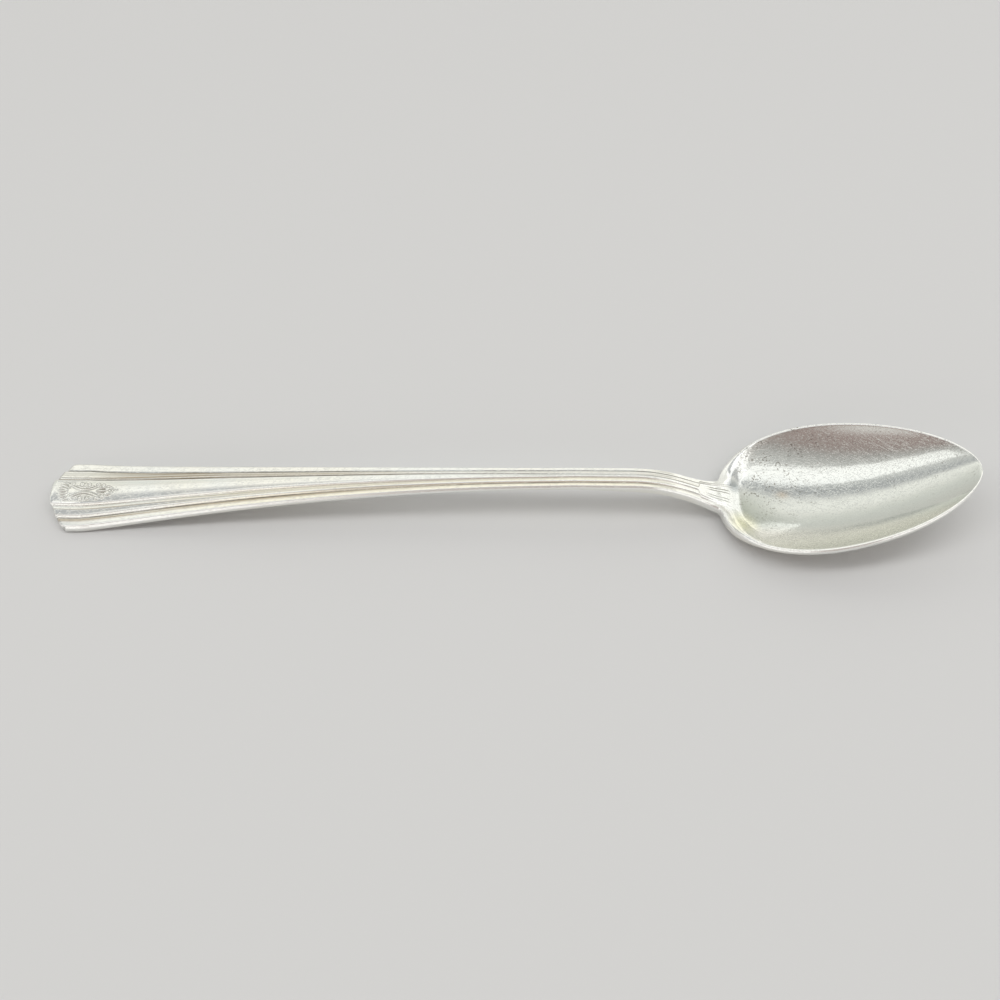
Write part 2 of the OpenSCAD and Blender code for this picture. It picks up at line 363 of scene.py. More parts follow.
def crowned(y, start, end):
    """A low arch of height 1 between two edges, with its top nearer to the first one."""
    t = limit((y - start) / (end - start))
    start_power, end_power = CROWN_POWERS
    return CROWN_SCALE * t ** start_power * (1 - t) ** end_power


def step_lines(x):
    """Edge and height of each step: the steps are lower along the shank."""
    share = mix(SHANK_STEP, 1.0, flare(x))
    return (panel_half(x), PANEL_STEP * share), (band_half(x), INNER_STEP * share)


def groove(y, edge, height):
    """1 in the fine groove at the foot of a step, and 0 away from it."""
    foot = edge + RISER_SLOPE * height + GROOVE_WIDTH / 2
    return hill((y - foot) / GROOVE_WIDTH)


def grooves(x, y):
    """1 in the grooves of both steps."""
    panel_line, band_line = step_lines(x)
    return np.maximum(groove(y, *panel_line), groove(y, *band_line))


def beads(x, y):
    """1 on the fine bead along the top of each step."""
    mask = 0
    for edge, height in step_lines(x):
        brow = edge - RISER_SLOPE * height - BEAD_WIDTH / 2
        mask = np.maximum(mask, hill((y - brow) / BEAD_WIDTH))
    return mask


def flutes(x, y):
    """1 in the fine flutes along the neck panel, which spread towards its end."""
    t = limit((x - HEEL_X + FLUTE_LENGTH) / FLUTE_LENGTH)
    mask = 0
    for place in FLUTES:
        line = place * mix(FLUTE_START_SHARE, 1.0, t)
        mask = np.maximum(mask, hill((y - line) / FLUTE_WIDTH) * ease(t / FLUTE_RISE))
    return mask * ease((HEEL_X + FLUTE_FADE - x) / FLUTE_FADE)


def start_cut(x, y):
    """1 in the fine cut across the start of the neck panel."""
    along = hill((x - PANEL_X + PANEL_STEP / 2) / START_CUT_WIDTH)
    return along * ease((PANEL_START_HALF - y) / START_CUT_FADE)


def terrace(x, y):
    """Height of the bands above the upper edge, with their fine relief. They thin out along the neck."""
    (c, panel_step), (b, inner_step) = step_lines(x)
    w = half_width(x)
    full = mix(SHANK_CROWN, 1.0, flare(x))
    panel = panel_step * step(y, c, panel_step) + PANEL_CROWN * full * c * limit(1 - (y / c) ** 2)
    inner_crown = INNER_BAND_CROWN * full * (b - c) * crowned(y, c, b)
    inner_band = inner_step * step(y, b, inner_step) + inner_crown
    outer_band = OUTER_BAND_CROWN * full * (w - b) * crowned(y, b, w)
    cuts = GROOVE_DEPTH * grooves(x, y) + FLUTE_DEPTH * flutes(x, y) + START_CUT_DEPTH * start_cut(x, y)
    fine = BEAD_HEIGHT * beads(x, y) - cuts
    at_start = mix(1, NECK_START_THINNING, ease((x - FALL_X) / (PANEL_X - FALL_X)))
    thinning = mix(at_start, NECK_THINNING, ease((x - PANEL_X) / (HEEL_X - PANEL_X)))
    return on_bands(x, y) * thinning * (panel + inner_band + outer_band + fine)


def apron(x, y, depth):
    """The slope beside the heel, which ends in a crease in line with the heel's foot."""
    rise = APRON_SLOPE * np.clip(foot_x(y) - x, 0, APRON_RUN)
    fade = ease((foot_x(y) - HEEL_FOOT_X - APRON_END) / APRON_FADE)
    beside = ease((y - APRON_START) / APRON_START) * (1 - fade)
    return rise * beside * limit(depth / APRON_DEPTH)


# Scroll ornament on the centre panel, as distances from the handle's end and from the centre line

SPIRAL_POINTS = 50
SPIRAL_POWER = 0.7
SPIRAL_WIDTHS = (0.12, 0.09)
CURVE_POINTS = 60
LEAF_END_SHARE = 0.25


def spiral(centre, radius, turns, hand):
    """Points of a scroll that winds in from the side next to the centre line, with its half width."""
    t = np.linspace(0, 1, SPIRAL_POINTS)
    angle = hand * 2 * math.pi * turns * t - math.pi / 2
    r = radius * (1 - t) ** SPIRAL_POWER
    width = mix(*SPIRAL_WIDTHS, t)
    return np.stack([centre[0] + r * np.cos(angle), centre[1] + r * np.sin(angle), width], 1)


def stem(start, middle, end, width):
    """Points of a bent line of even width."""
    t = np.linspace(0, 1, CURVE_POINTS)[:, None]
    line = (1 - t) ** 2 * np.array(start) + 2 * t * (1 - t) * np.array(middle) + t ** 2 * np.array(end)
    return np.concatenate([line, np.full_like(t, width)], 1)


def leaf(start, middle, end, width):
    """Points of a bent leaf, broad in the middle and pointed at its ends."""
    points = stem(start, middle, end, width)
    swell = np.sin(math.pi * np.linspace(0, 1, CURVE_POINTS))
    points[:, 2] *= mix(LEAF_END_SHARE, 1, swell)
    return points


def dot(u, width):
    return np.array([[u, 0.0, width]])


# A palmette towards the end, a pair of C-scrolls back to back with curls, and a bud with dots
ORNAMENT = np.concatenate([
    leaf((3.5, 0.0), (2.6, 0.0), (1.6, 0.0), 0.18),
    leaf((3.6, 0.2), (2.9, 0.8), (1.7, 0.8), 0.15),
    leaf((3.8, 0.45), (3.2, 1.45), (1.8, 1.55), 0.15),
    leaf((4.0, 0.7), (3.9, 2.1), (2.3, 2.25), 0.14),
    stem((4.4, 1.35), (7.0, -0.5), (9.7, 1.15), 0.13),
    stem((5.2, 1.45), (7.0, 0.45), (8.8, 1.3), 0.09),
    spiral((4.4, 1.85), 0.5, 1.2, -1),
    spiral((9.7, 1.6), 0.45, 1.15, 1),
    spiral((6.4, 1.85), 0.4, 1.1, -1),
    spiral((7.8, 1.75), 0.36, 1.1, 1),
    leaf((7.1, 1.2), (7.1, 1.8), (7.05, 2.4), 0.12),
    leaf((9.6, 0.0), (10.6, 0.0), (11.8, 0.0), 0.2),
    leaf((9.9, 0.35), (10.7, 0.85), (11.8, 0.6), 0.13),
    spiral((11.0, 1.4), 0.36, 1.1, -1),
    leaf((11.3, 1.1), (12.2, 1.15), (13.2, 0.5), 0.11),
    dot(12.4, 0.14),
    dot(13.0, 0.12),
    dot(13.6, 0.1),
    dot(14.1, 0.09),
])
ORNAMENT_LENGTH = 15.0
ORNAMENT_HEIGHT = 0.13
RIDGE_REACH = 1.8
GROUND_DEPTH = 0.05
GROUND_REACH = 1.6
BORDER_INSET = 0.85
BORDER_SIDE_INSET = 0.7 * BORDER_INSET
BORDER_WIDTH = 0.2
BORDER_HEIGHT_SHARE = 0.6
BORDER_LENGTH = 8.0
BORDER_FADE = 4.0


def ornament(x, y):
    """Height share of the scrolls and their border, and 1 on the ground round the scrolls."""
    u = x - END_X
    c = panel_half(x)
    shape = np.broadcast(x, y).shape
    found = np.nonzero(np.broadcast_to((u < ORNAMENT_LENGTH) & (y < c), shape))
    points = np.stack([np.broadcast_to(place, shape)[found] for place in (u, y)], 1)
    across = points[:, None, :] - ORNAMENT[None, :, :2]
    near = (np.hypot(across[..., 0], across[..., 1]) / ORNAMENT[None, :, 2]).min(1)
    ridge = np.zeros(shape)
    ridge[found] = hill(near / RIDGE_REACH)
    ground = np.zeros(shape)
    ground[found] = hill((near - RIDGE_REACH) / GROUND_REACH)
    bow = END_BOW * limit(y / c) ** BOW_POWER
    end_line = hill((u - BORDER_INSET - bow) / BORDER_WIDTH) * (y < c - BORDER_SIDE_INSET)
    side_line = hill((c - y - BORDER_SIDE_INSET) / BORDER_WIDTH)
    side_line = side_line * ease((BORDER_LENGTH - u) / BORDER_FADE) * (u > BORDER_INSET)
    return np.maximum(ridge, BORDER_HEIGHT_SHARE * np.maximum(end_line, side_line)), ground


# Upper and lower surface at a share of the half width

def rim_share(x):
    """Where the hollow starts: the rim is broader at the shoulders, where the neck runs into it."""
    width = RIM_WIDTH + SHOULDER_LIP * (1 - ease((x - SHOULDER_X) / LIP_RUN))
    return 1 - np.minimum(width / half_width(x), MOST_RIM_SHARE)


def hollow(x, share):
    """1 at the middle of the bowl's floor and 0 on its rim."""
    power = mix(HEEL_HOLLOW_POWER, HOLLOW_POWER, ease((x - SHOULDER_X) / LIP_RUN))
    rest = 1 - (share / rim_share(x)) ** power
    return (rest + np.sqrt(rest ** 2 + RIM_SOFTNESS ** 2)) / 2


def waves(x, y):
    skew_along, skew_across = WAVE_SKEW
    along = np.sin(2 * math.pi * x / WAVE_LENGTH + skew_along * y)
    across = np.cos(2 * math.pi * y / WAVE_LENGTH + skew_across * x)
    return WAVE_HEIGHT * along * across * ease((x - HEEL_X) / WAVE_RISE)


def top_z(x, share):
    y = share * half_width(x)
    relief, ground = ornament(x, y)
    raised = ORNAMENT_HEIGHT * relief - GROUND_DEPTH * ground
    bowl = floor_depth(x) * hollow(x, share)
    slope = apron(x, y, bowl) - waves(x, y) * hollow(x, share)
    return edge_line(x) + terrace(x, y) + raised - bowl + slope


def bottom_z(x, share):
    return mix(keel(x), edge_line(x) - side_height(x), share ** BELLY_POWER)


# Outline of the handle's end

def band_cut(y, start, end, jog_run, depth):
    """How far the end of one band is set back: a jog at its step, and more towards its outer edge."""
    jog = END_JOG * limit((y - start) / jog_run)
    return jog + depth * limit((y - start) / (end - start)) ** CUT_POWER


def set_back(y):
    """How far the end is cut back, band by band."""
    c = float(panel_half(np.array(END_X)))
    b = float(band_half(np.array(END_X)))
    w = float(half_width(np.array(END_X)))
    bow = END_BOW * limit(y / c) ** BOW_POWER
    inner_cut = band_cut(y, c, b, PANEL_STEP, INNER_CUT - END_JOG - END_BOW)
    outer_cut = band_cut(y, b, w, INNER_STEP, OUTER_CUT - INNER_CUT - END_JOG)
    corner = CORNER_CUT * limit((y - b) / (w - b)) ** CORNER_POWER
    return bow + inner_cut + outer_cut + corner


def cut_x(station, share):
    fade = 1 - ease((station - END_X) / END_BLEND)
    return station + set_back(share * half_width(np.array(END_X))) * fade


# Rings of points round the spoon

def stretch(a, b, pitch):
    """Places from a on, up to but without b, about a pitch apart."""
    count = round((b - a) / pitch)
    return np.arange(count) * (b - a) / count + a


def make_stations():
    """Places of the rings, closest together where the relief is fine."""
    end = END_X + END_TOP_ROUND * (1 - np.cos(np.linspace(0, math.pi / 2, END_ROWS)[:-1]))
    ornament_end = END_X + ORNAMENT_LENGTH + ORNAMENT_MARGIN
    cut_start = PANEL_X - CUT_MARGINS[0]
    cut_end = PANEL_X + CUT_MARGINS[1]
    heel_end = HEEL_FOOT_X + HEEL_MARGIN
    tip_start = TIP_X - TIP_RUN
    tip = mix(tip_start, TIP_X, np.sin(np.linspace(0, math.pi / 2, TIP_ROWS)))
    return np.concatenate([
        end,
        stretch(END_X + END_TOP_ROUND, ornament_end, ORNAMENT_PITCH),
        stretch(ornament_end, FALL_X, HANDLE_PITCH),
        stretch(FALL_X, cut_start, FALL_PITCH),
        stretch(cut_start, cut_end, CUT_PITCH),
        stretch(cut_end, HEEL_X, PANEL_PITCH),
        stretch(HEEL_X, heel_end, HEEL_PITCH),
        stretch(heel_end, tip_start, BOWL_PITCH),
        tip,
    ])


def chain(*parts):
    """Joins stretches of columns that share their end points."""
    return np.concatenate([parts[0]] + [p[:, 1:] for p in parts[1:]], axis=1)


def between(a, b, count):
    """Columns evenly from a to b."""
    return mix(a, b, np.linspace(0, 1, count)[None, :])


def top_shares(x):
    """Columns that follow the band edges on the handle and spread out in the bowl."""
    w = half_width(x)
    c = panel_half(x)
    b = band_half(x)
    r = bevel(x)
    panel_zone = np.minimum(STEP_ZONE, PANEL_ZONE_SHARE * c)
    band_zone = np.minimum(STEP_ZONE, (b - c) / BAND_ZONE_PARTS)
    bands = chain(
        between(0 * x, c - panel_zone, PANEL_POINTS),
        between(c - panel_zone, c + band_zone, STEP_POINTS),
        between(c + band_zone, b - band_zone, INNER_POINTS),
        between(b - band_zone, b + STEP_ZONE, STEP_POINTS),
        between(b + STEP_ZONE, w - r, OUTER_POINTS),
    ) / w
    rim = rim_share(x)
    rim_zone = np.minimum(RIM_ZONE / w, RIM_ZONE_SHARE * (1 - rim))
    hollow_points = PANEL_POINTS + STEP_POINTS + INNER_POINTS - 2
    bowl = chain(
        between(0 * x, rim - rim_zone, hollow_points),
        between(rim - rim_zone, rim + rim_zone, STEP_POINTS),
        between(rim + rim_zone, 1 - r / w, OUTER_POINTS),
    )
    return mix(bands, bowl, ease((x - HEEL_X) / COLUMN_BLEND))


def bevel(x):
    """Breadth of the sloping edge between the upper face and the side."""
    handle = mix(SHANK_BEVEL, HANDLE_BEVEL, flare(x))
    broad = mix(handle, RIM_BEVEL, ease((x - SHOULDER_X) / SIDE_BLEND))
    return np.minimum(broad, MOST_BEVEL_SHARE * half_width(x))


def bottom_round(x):
    return np.minimum(BOTTOM_ROUND, MOST_BOTTOM_SHARE * half_width(x))


def end_drop(station, radius):
    """How far a face draws in where the handle's end and the tip are rounded."""
    gap = np.minimum(station - END_X, TIP_X - station)
    inset = limit(1 - gap / radius)
    return radius * (1 - np.sqrt(1 - inset ** 2))


def half_profile(stations):
    """x, y and z from the middle of the top round the edge to the middle of the bottom."""
    x = stations[:, None]
    r = bevel(x)
    q = bottom_round(x)
    shares = top_shares(x)
    top_x = cut_x(x, shares)
    top_y = shares * half_width(top_x)
    top = top_z(top_x, shares) - end_drop(x, np.where(x < 0, END_TOP_ROUND, END_ROUND))
    side_x = cut_x(x, np.ones_like(x))
    side_w = half_width(side_x)
    slope = np.linspace(0, 1, ROUND_POINTS + 1)[None, 1:]
    upper_y = side_w - r * (1 - slope)
    upper = top[:, -1:] - BEVEL_SLOPE * r * slope ** BEVEL_POWER
    turn = np.linspace(0, math.pi / 2, ROUND_POINTS + 1)[None, 1:]
    low_shares = between(1 - q / side_w, 0 * x, BOTTOM_POINTS)
    low_x = cut_x(x, low_shares)
    low_y = low_shares * half_width(low_x)
    low = bottom_z(low_x, low_shares) + end_drop(x, END_ROUND)
    back = turn[:, ::-1]
    lower_y = side_w - q + q * np.sin(back)
    lower = low[:, :1] + q * (1 - np.cos(back))
    wall = between(upper[:, -1:], lower[:, :1], SIDE_POINTS + 2)[:, 1:-1]
    wall_y = side_w + 0 * wall
    edge_x = [side_x + 0 * part for part in (upper, wall, lower)]
    return (
        np.concatenate([top_x] + edge_x + [low_x], 1),
        np.concatenate([top_y, upper_y, wall_y, lower_y, low_y], 1),
        np.concatenate([top, upper, wall, lower, low], 1),
    )


def full_ring(half, sign):
    """A closed ring from one half: the far half, then its mirror image without the two middles."""
    return np.concatenate([half, sign * half[:, -2:0:-1]], 1)


def grid_normals(points):
    """Outward directions at the points of the rings, turned towards the ends in the first and last ring."""
    along = np.gradient(points, axis=0)
    around = np.roll(points, -1, 1) - np.roll(points, 1, 1)
    n = np.cross(along, around)
    n[0] += np.array([-1.0, 0, 0]) * np.linalg.norm(n[0], axis=-1, keepdims=True)
    n[-1] += np.array([1.0, 0, 0]) * np.linalg.norm(n[-1], axis=-1, keepdims=True)
    return n / np.maximum(np.linalg.norm(n, axis=-1, keepdims=True), 1e-12)


# The coat's outside and, one plate thickness further in, the surface that it shares with the blank
half_x, half_y, half_z = half_profile(make_stations())
outer = np.stack([full_ring(half_x, 1), full_ring(half_y, -1), full_ring(half_z, 1)], 2)
inner = outer - PLATE_THICKNESS * grid_normals(outer)
worn = outer[..., 2] < COAT_END_Z
outer[..., 2] = np.maximum(outer[..., 2], COAT_END_Z / 2)
inner[..., 2] = np.maximum(inner[..., 2], 0)
row_count, ring_count = outer.shape[:2]


# Meshes

def cell_corners(row, column):
    """Corner numbers of the cells between rings, turned to face outwards."""
    following = (column + 1) % ring_count
    return np.stack([
        row * ring_count + column,
        (row + 1) * ring_count + column,
        (row + 1) * ring_count + following,
        row * ring_count + following,
    ], -1)


def end_triangles(row):
    """Triangles that close the ring of one end, facing the handle's end."""
    side = TOP_POINTS + ROUND_POINTS
    upper = [*range(ring_count - side, ring_count), *range(side + 1)]
    lower = [*range(ring_count - side, side - 1, -1)]
    y = outer[row, :, 1]
    base = row * ring_count
    triangles = []
    a = 0
    b = 0
    while a < len(upper) - 1 or b < len(lower) - 1:
        top_next = y[upper[a + 1]] if a < len(upper) - 1 else math.inf
        low_next = y[lower[b + 1]] if b < len(lower) - 1 else math.inf
        if top_next <= low_next:
            corners = (upper[a], upper[a + 1], lower[b])
            a += 1
        else:
            corners = (upper[a], lower[b + 1], lower[b])
            b += 1
        if len(set(corners)) == 3:
            triangles.append([base + k for k in corners])
    return triangles


def skin(keep):
    """Faces of one sheet: the kept cells and both ends."""
    rows, columns = np.nonzero(keep)
    faces = cell_corners(rows, columns).tolist()
    faces += end_triangles(0)
    faces += [triangle[::-1] for triangle in end_triangles(row_count - 1)]
    return faces


def patch_walls(keep, lining):
    """Walls between the two sheets round the worn patches."""
    faces = []
    neighbours = ((0, -1), (1, 0), (0, 1), (-1, 0))
    for row, column in zip(*np.nonzero(~keep)):
        corners = cell_corners(row, column)
        for k, (down, along) in enumerate(neighbours):
            if keep[row + down, (column + along) % ring_count]:
                a = int(corners[k])
                b = int(corners[(k + 1) % 4])
                faces.append([a, b, b + lining, a + lining])
    return faces


def add_piece(name, points, faces, material, node, marks):
    """A smooth mesh that stands for a CAD node, with numbers per point for its material."""
    mesh = bpy.data.meshes.new(name)
    mesh.from_pydata((points.reshape(-1, 3) * MM).tolist(), [], faces)
    mesh.polygons.foreach_set("use_smooth", [True] * len(mesh.polygons))
    for mark, values in marks.items():
        layer = mesh.attributes.new(mark, "FLOAT", "POINT")
        layer.data.foreach_set("value", np.resize(values, len(mesh.vertices)).astype(np.float32))
    mesh.materials.append(material)
    mesh.validate()
    mesh.update()
    piece = bpy.data.objects.new(name, mesh)
    bpy.context.scene.collection.objects.link(piece)
    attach(piece, "root")
    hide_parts(node)


# Marks: numbers per point that the silver's material uses. Pairs give the near and the far side.

# Tarnish on the handle and the underside, and painted shade that makes the far side's grooves darker than
# the near side's
PANEL_GROOVE_TARNISH_AND_SHADE = (0.5, 0.9)
BAND_GROOVE_TARNISH = 1.1
NECK_GROOVE_TARNISH_AND_SHADE_SHARE = (0.5, 0.8)
FLUTE_TARNISH = 1.15
GROUND_TARNISH = 0.75
UNDERSIDE_TARNISH = 0.2

# Film and streaks on the bands, which fade from the broad part of the handle to the shank
BROAD_PART = 55.0
BROAD_PART_FADE = 40.0
SHANK_MARKS = 0.25
FILM_STRENGTH = 0.9
NEAR_FILM_PLACE = 0.28
NEAR_FILM_HALF = 0.27
FAR_FILM_AT_END = 0.15
FAR_FILM = 0.6
FAR_FILM_START = 6.0
FAR_FILM_RISE = 12.0
STREAK_STRENGTH = 0.7
STREAKS = (0.8, 1.4)
STREAKS_ELSEWHERE = 0.15
WARM_START = 15.0
WARM_RISE = 35.0

# Pits and stain in the bowl
BOWL_RISE = 3.0
NEAR_PITS = 0.35
PIT_SIDE = -4.0
PIT_SIDE_RISE = 5.0
PITS_EVERYWHERE = 0.3
PITS_AT_HEEL = 0.9
PIT_PLACE = 6.0
PIT_SPREAD = 9.0
STAIN_STRENGTH = 0.45
STAIN_X = 57.4
STAIN_Y = 2.1
STAIN_LENGTH = 1.2
STAIN_BREADTH = 0.9

# Tone of the bowl: painted shade inside, more painted shade after the heel, grey on the far shoulder and
# yellow on the near one
FAR_FOOT_BEND = 0.5
INSIDE_SHADE_LEAD = 1.5
INSIDE_SHADE_RISE = 4.0
SHADE_STRENGTH = 0.8
SHADE_RISE = 0.8
SHADE_RUN = 6.0
SHADE_Y = -2.5
SHADE_HALF = 7.0
CLOUD_STRENGTH = 0.85
CLOUD_X = HEEL_X + 1.4
CLOUD_Y = 3.1
CLOUD_RADIUS = 2.3
TINGE_STRENGTH = 0.9
TINGE_X = HEEL_FOOT_X + 0.4
TINGE_Y = -6.3
TINGE_RADIUS = 4.2
WALL_RISE = 4.0
WALL_Y = 5.5
RIM_RUB_AND_HIGHLIGHT_RISE = 2.0


def upper_columns():
    """1 at the columns of the upper face, and 1 at those of the sloping edges beside it."""
    on_top = np.zeros(ring_count)
    on_top[:TOP_POINTS] = 1
    on_top[ring_count - TOP_POINTS + 1:] = 1
    on_edge = np.zeros(ring_count)
    on_edge[TOP_POINTS - 1:TOP_POINTS + ROUND_POINTS] = 1
    on_edge[ring_count - TOP_POINTS - ROUND_POINTS + 1:ring_count - TOP_POINTS + 2] = 1
    return on_top, on_edge


def in_hollow(x, y, on_top):
    """1 inside the rim's inner edge."""
    return np.where(y < rim_share(x) * half_width(x), on_top, 0)


def tarnish_and_shade_mark(x, y, near_side, on_top):
    """Tarnish in the grooves, in the flutes, on the ornament's ground and on the underside, and painted
    shade that makes the far side's grooves darker.
    """
    on_handle = on_bands(x, y) * on_top
    at_neck = ease((x - FALL_X) / (PANEL_X - FALL_X))
    panel_line, band_line = step_lines(x)
    # The far side's grooves are darker than the near side's: painted shade where their steps face away
    in_panel_groove = np.where(near_side, *PANEL_GROOVE_TARNISH_AND_SHADE) * groove(y, *panel_line)
    in_grooves = np.maximum(in_panel_groove, BAND_GROOVE_TARNISH * groove(y, *band_line))
    in_grooves = in_grooves * mix(1.0, np.where(near_side, *NECK_GROOVE_TARNISH_AND_SHADE_SHARE), at_neck)
    relief, ground = ornament(x, y)
    on_ground = GROUND_TARNISH * on_handle * ground * (1 - relief)
    tarnish_and_shade = on_handle * np.maximum(in_grooves, FLUTE_TARNISH * flutes(x, y))
    return np.maximum(np.maximum(tarnish_and_shade, on_ground), UNDERSIDE_TARNISH * (1 - on_top))


def band_marks(x, y, near_side, on_top):
    """Tan film, rubbed streaks and warm tone on the bands."""
    on_handle = on_bands(x, y) * on_top
    before_neck = 1 - ease((x - FALL_X) / (PANEL_X - FALL_X))
    panel_line, band_line = step_lines(x)
    beside_panel = 1 - step(y, *panel_line)
    between_steps = step(y, *band_line) * beside_panel
    broad_part = mix(1.0, SHANK_MARKS, ease((x - END_X - BROAD_PART) / BROAD_PART_FADE))
    outer_share = (y - band_half(x)) / (half_width(x) - band_half(x))
    near_film = near_side * hill((outer_share - NEAR_FILM_PLACE) / NEAR_FILM_HALF)
    far_level = mix(FAR_FILM_AT_END, FAR_FILM, ease((x - END_X - FAR_FILM_START) / FAR_FILM_RISE))
    far_film = ~near_side * between_steps * far_level
    streaks = mix(STREAKS_ELSEWHERE, np.where(near_side, *STREAKS), between_steps)
    warm = near_side * beside_panel * ease((x - END_X - WARM_START) / WARM_RISE)
    return {
        "film": FILM_STRENGTH * on_handle * np.maximum(near_film, far_film) * broad_part,
        "streaks": STREAK_STRENGTH * on_handle * streaks * broad_part * before_neck,
        "warm": on_handle * warm * before_neck,
    }


def bowl_marks(x, across, on_top):
    """Pits, stain, tones and painted shade in the bowl and on its shoulders."""
    y = np.abs(across)
    inside = in_hollow(x, y, on_top)
    in_bowl = ease((x - HEEL_X) / BOWL_RISE) * on_top
    far_part = mix(NEAR_PITS, 1.0, ease((across - PIT_SIDE) / PIT_SIDE_RISE))
    pits = PITS_EVERYWHERE + PITS_AT_HEEL * bell((x - HEEL_FOOT_X - PIT_PLACE) / PIT_SPREAD)
    stain = bell(np.hypot((x - STAIN_X) / STAIN_LENGTH, (across - STAIN_Y) / STAIN_BREADTH))
    foot = np.where(across < 0, foot_x(y), mix(HEEL_FOOT_X, foot_x(y), FAR_FOOT_BEND))
    after_foot = ease((x - foot) / SHADE_RISE) * bell((x - foot) / SHADE_RUN)
    shade = after_foot * hill((across - SHADE_Y) / SHADE_HALF)
    cloud = hill(np.hypot(x - CLOUD_X, across - CLOUD_Y) / CLOUD_RADIUS)
    tinge = hill(np.hypot(x - TINGE_X, across - TINGE_Y) / TINGE_RADIUS)
    wall = ease((x - HEEL_FOOT_X) / WALL_RISE) * ease((-across - WALL_Y) / WALL_RISE)
    return {
        "pits": in_bowl * far_part * pits,
        "stain": STAIN_STRENGTH * in_bowl * stain,
        # Painted shade over the bowl's hollow, from just before the heel's foot
        "painted_shade_inside": ease((x - foot + INSIDE_SHADE_LEAD) / INSIDE_SHADE_RISE) * inside,
        "shade": SHADE_STRENGTH * shade * inside,
        "cloud": CLOUD_STRENGTH * cloud * on_top,
        "tinge": TINGE_STRENGTH * tinge * on_top,
        "wall": wall * inside,
    }


def surface_marks():
    """What each point of the rings has of tarnishing, wear, tone and painted light and shade, and its lane
    across the bands.
    """
    x = outer[..., 0]
    across = outer[..., 1]
    y = np.abs(across)
    near_side = across < 0
    on_top, on_edge = upper_columns()
    on_beads = on_bands(x, y) * on_top * beads(x, y)
    on_rim = (on_top - in_hollow(x, y, on_top)) * ease((x - SHOULDER_X) / RIM_RUB_AND_HIGHLIGHT_RISE)
    return {
        **band_marks(x, y, near_side, on_top),
        **bowl_marks(x, across, on_top),
        "tarnish_and_shade": tarnish_and_shade_mark(x, y, near_side, on_top),
        # Beads, sloping edges and rim are paler: partly rubbed wear, partly a painted highlight where they
        # catch the light
        "rubbed": np.maximum(on_beads, np.maximum(on_edge, on_rim)),
        "lane": across / half_width(x) * END_WIDTH / 2 * MM,
    }


# Materials

class Graph:
    """Adds nodes to a node tree and joins them."""

    def __init__(self, tree):
        self.tree = tree
        tree.nodes.clear()

    def add(self, kind, inputs, **settings):
        node = self.tree.nodes.new(kind)
        for name, value in settings.items():
            setattr(node, name, value)
        for name, value in inputs.items():
            if isinstance(value, bpy.types.NodeSocket):
                self.tree.links.new(value, node.inputs[name])
            else:
                node.inputs[name].default_value = value
        return node

    def math(self, operation, a, b):
        return self.add("ShaderNodeMath", {0: a, 1: b}, operation=operation).outputs[0]

    def plus(self, value, source, amount):
        """The value with so much of the source added to it."""
        return self.math("ADD", value, self.math("MULTIPLY", source, amount))

    def noise(self, vector, scale, detail):
        inputs = {"Vector": vector, "Scale": scale, "Detail": detail}
        return self.add("ShaderNodeTexNoise", inputs).outputs["Fac"]

    def mapped(self, vector, scale, turn):
        inputs = {"Vector": vector, "Scale": scale, "Rotation": (0, 0, math.radians(turn))}
        return self.add("ShaderNodeMapping", inputs, vector_type="TEXTURE").outputs["Vector"]

    def part(self, value, low, high):
        """0 up to low, 1 from high on, and smooth between them."""
        inputs = {"Value": value, "From Min": low, "From Max": high}
        return self.add("ShaderNodeMapRange", inputs, interpolation_type="SMOOTHSTEP").outputs["Result"]

    def span(self, value, low, high):
        """A share turned into a number from low to high."""
        inputs = {"Value": value, "To Min": low, "To Max": high}
        return self.add("ShaderNodeMapRange", inputs).outputs["Result"]

    def blend(self, share, a, b):
        inputs = {"Factor": share, 6: a, 7: b}
        return self.add("ShaderNodeMix", inputs, data_type="RGBA").outputs[2]

    def mark(self, name):
        return self.add("ShaderNodeAttribute", {}, attribute_name=name).outputs["Fac"]


# Colours of the silver, and tones that lie over it one after the other, among them a painted highlight and
# painted shade
COLD_SILVER = (0.91, 0.92, 0.89, 1)
CREAM_SILVER = (0.93, 0.92, 0.86, 1)
TONES = (
    ("warm", (0.96, 0.925, 0.80, 1)),
    # Paler beads, edges and rim: rubbed wear and a painted highlight
    ("rubbed", (0.98, 0.98, 0.95, 1)),
    # Painted shade inside the bowl
    ("painted_shade_inside", (0.76, 0.775, 0.735, 1)),
    ("wall", (0.96, 0.935, 0.86, 1)),
    ("shade", (0.46, 0.49, 0.42, 1)),
    ("tinge", (0.98, 0.95, 0.70, 1)),
    ("cloud", (0.40, 0.43, 0.44, 1)),
)
STREAK_BROWN = (0.40, 0.34, 0.25, 1)
FILM_TAN = (0.44, 0.37, 0.28, 1)
STAIN_BROWN = (0.62, 0.45, 0.28, 1)
# Olive of the tarnish, also used for the painted shade in the far side's grooves
TARNISH_AND_SHADE_OLIVE = (0.11, 0.095, 0.055, 1)
PIT_BROWN = (0.2, 0.18, 0.14, 1)

# Noise in the silver: its scale and detail, and the values between which a mark fades in
DRIFT_NOISE = (55, 2)
PATCH_NOISE = (420, 3)
GRAIN_NOISE = (2400, 2)
LINE_NOISE = (2600, 1)
LINE_STRETCH = 120
CREAM_FADE = (0.35, 0.65)
STREAK_FADE = (0.5, 0.68)
FILM_FADE = (0.1, 0.55)
TARNISH_DRIFT_FADE = (0.3, 0.7)
TARNISH_BY_DRIFT = (0.5, 1.1)
TARNISH_BY_PATCH = (0.6, 1.2)
TARNISH_FADE = (0.1, 1.0)
PIT_FADE = (0.57, 0.66)
PIT_PATCH_FADE = (0.45, 0.6)
PIT_DARKNESS = 0.8

